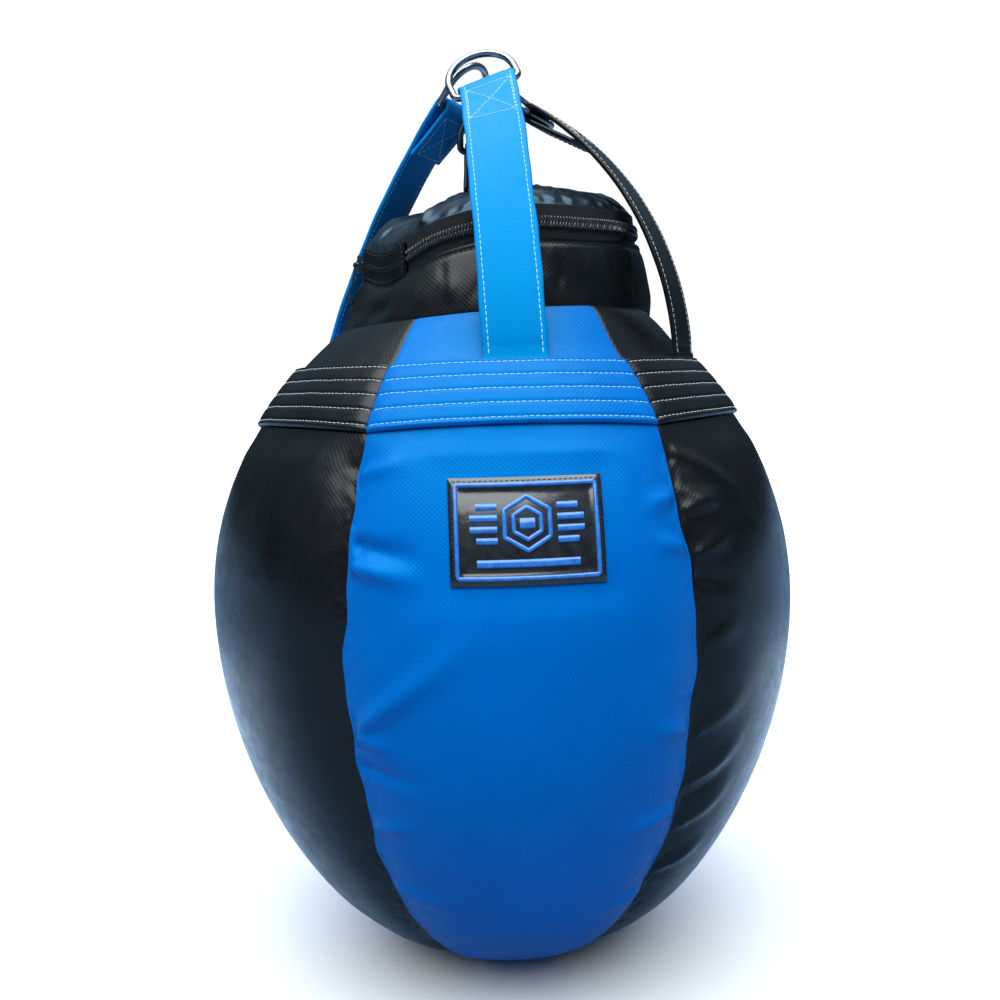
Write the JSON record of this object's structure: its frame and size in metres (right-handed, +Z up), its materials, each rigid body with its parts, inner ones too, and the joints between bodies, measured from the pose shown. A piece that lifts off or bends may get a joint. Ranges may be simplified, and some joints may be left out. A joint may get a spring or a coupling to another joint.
{
  "type": "heavy punching bag",
  "caption": "Hanging teardrop punching bag with alternating coloured vinyl gores, shoulder band, zipped neck lid, straps and gathered D-rings.",
  "frame": {"origin": "hang point: underside of the gathered D-ring arcs, on the bag axis, where a hook carries the bag", "axes": "+Z up along the bag axis; -Y out of the front gore that carries the badge; +X to its right seen from the front"},
  "size_m": [0.5, 0.4998, 0.7861],
  "materials": {
    "blue_vinyl": "semi-gloss PVC-coated fabric, fine embossed weave",
    "black_vinyl": "gloss PVC-coated fabric, fine embossed weave",
    "webbing": "woven polyester webbing",
    "plated_steel": "bright nickel-plated welded steel",
    "lining": "woven lining",
    "foam": "closed foam sheet",
    "textile_scrap": "packed textile scrap",
    "badge_rubber": "moulded soft PVC",
    "badge_blue": "moulded soft PVC, coloured",
    "zip_coil": "nylon coil",
    "zip_tape": "woven zipper tape",
    "zip_metal": "dark plated zinc"
  },
  "bodies": {
    "bag": {"badge_frame": "badge_blue", "badge_plate": "badge_rubber", "band_1_blue": "blue_vinyl", "band_2_black": "black_vinyl", "band_3_blue": "blue_vinyl", "band_4_black": "black_vinyl", "band_5_blue": "blue_vinyl", "band_6_black": "black_vinyl", "filling": "textile_scrap", "foam_layer": "foam", "gore_1_blue": "blue_vinyl", "gore_2_black": "black_vinyl", "gore_3_blue": "blue_vinyl", "gore_4_black": "black_vinyl", "gore_5_blue": "blue_vinyl", "gore_6_black": "black_vinyl", "hinge_patch": "black_vinyl", "liner": "lining", "neck_wall": "black_vinyl", "strap_front_tail": "blue_vinyl", "strap_left_tail": "blue_vinyl", "strap_rear_tail": "black_vinyl", "strap_right_tail": "black_vinyl", "zip_coil_lower": "zip_coil", "zip_tape_lower": "zip_tape"},
    "lid": {"lid_skirt": "black_vinyl", "lid_top": "black_vinyl", "zip_coil_upper": "zip_coil", "zip_tape_upper": "zip_tape"},
    "strap_front": {"strap_front_cover": "blue_vinyl", "strap_front_core": "webbing"},
    "strap_right": {"strap_right_cover": "black_vinyl", "strap_right_core": "webbing"},
    "strap_rear": {"strap_rear_cover": "black_vinyl", "strap_rear_core": "webbing"},
    "strap_left": {"strap_left_cover": "blue_vinyl", "strap_left_core": "webbing"},
    "ring_front": {"ring_front": "plated_steel"},
    "ring_right": {"ring_right": "plated_steel"},
    "ring_rear": {"ring_rear": "plated_steel"},
    "ring_left": {"ring_left": "plated_steel"},
    "zip_slider": {"zip_slider": "zip_metal"},
    "zip_pull": {"zip_pull": "zip_metal"}
  },
  "joints": [
    {"name": "strap_front_fold", "type": "hinge", "parent": "bag", "child": "strap_front", "pos_m": [0, -0.16896, -0.2475], "axis": [1, 0, 0], "range_deg": [0, 120]},
    {"name": "strap_right_fold", "type": "hinge", "parent": "bag", "child": "strap_right", "pos_m": [0.14633, -0.08448, -0.2475], "axis": [0.5, 0.866, 0], "range_deg": [0, 120]},
    {"name": "strap_rear_fold", "type": "hinge", "parent": "bag", "child": "strap_rear", "pos_m": [0, 0.16896, -0.2475], "axis": [-1, 0, 0], "range_deg": [0, 120]},
    {"name": "strap_left_fold", "type": "hinge", "parent": "bag", "child": "strap_left", "pos_m": [-0.14633, 0.08448, -0.2475], "axis": [-0.5, -0.866, 0], "range_deg": [0, 120]},
    {"name": "lid_hinge", "type": "hinge", "parent": "bag", "child": "lid", "pos_m": [-0.09956, -0.0607, -0.16716], "axis": [0.4981, -0.866, 0.0436], "range_deg": [0, 60], "deforming": ["hinge_patch"]},
    {"name": "ring_front_swing", "type": "hinge", "parent": "strap_front", "child": "ring_front", "pos_m": [-0.004, -0.0445, -0.0295], "axis": [0.9397, 0, 0.342], "range_deg": [0, 96]},
    {"name": "ring_right_swing", "type": "hinge", "parent": "strap_right", "child": "ring_right", "pos_m": [0.04077, -0.02238, -0.049], "axis": [0.5, 0.866, 0], "range_deg": [0, 96]},
    {"name": "ring_rear_swing", "type": "hinge", "parent": "strap_rear", "child": "ring_rear", "pos_m": [0.0025, 0.0375, -0.061], "axis": [-1, 0, 0], "range_deg": [0, 96]},
    {"name": "ring_left_swing", "type": "hinge", "parent": "strap_left", "child": "ring_left", "pos_m": [-0.02988, 0.01725, -0.032], "axis": [-0.5, -0.866, 0], "range_deg": [0, 96]},
    {"name": "slider_run", "type": "hinge", "parent": "bag", "child": "zip_slider", "pos_m": [0.005, 0, -0.156], "axis": [-0.0872, 0, 0.9962], "range_deg": [-316, 0]},
    {"name": "pull_swing", "type": "hinge", "parent": "zip_slider", "child": "zip_pull", "pos_m": [-0.11979, -0.01761, -0.16692], "axis": [-0.1386, 0.9903, -0.0121], "range_deg": [0, 110]}
  ],
  "couplings": [
    {"joint": "strap_right_fold", "follows": "strap_front_fold", "ratio": 1},
    {"joint": "strap_rear_fold", "follows": "strap_front_fold", "ratio": 1},
    {"joint": "strap_left_fold", "follows": "strap_front_fold", "ratio": 1},
    {"joint": "lid_hinge", "follows": "strap_front_fold", "ratio": 0.5},
    {"joint": "ring_front_swing", "follows": "strap_front_fold", "ratio": 0.8},
    {"joint": "ring_right_swing", "follows": "strap_front_fold", "ratio": 0.8},
    {"joint": "ring_rear_swing", "follows": "strap_front_fold", "ratio": 0.8},
    {"joint": "ring_left_swing", "follows": "strap_front_fold", "ratio": 0.8}
  ]
}
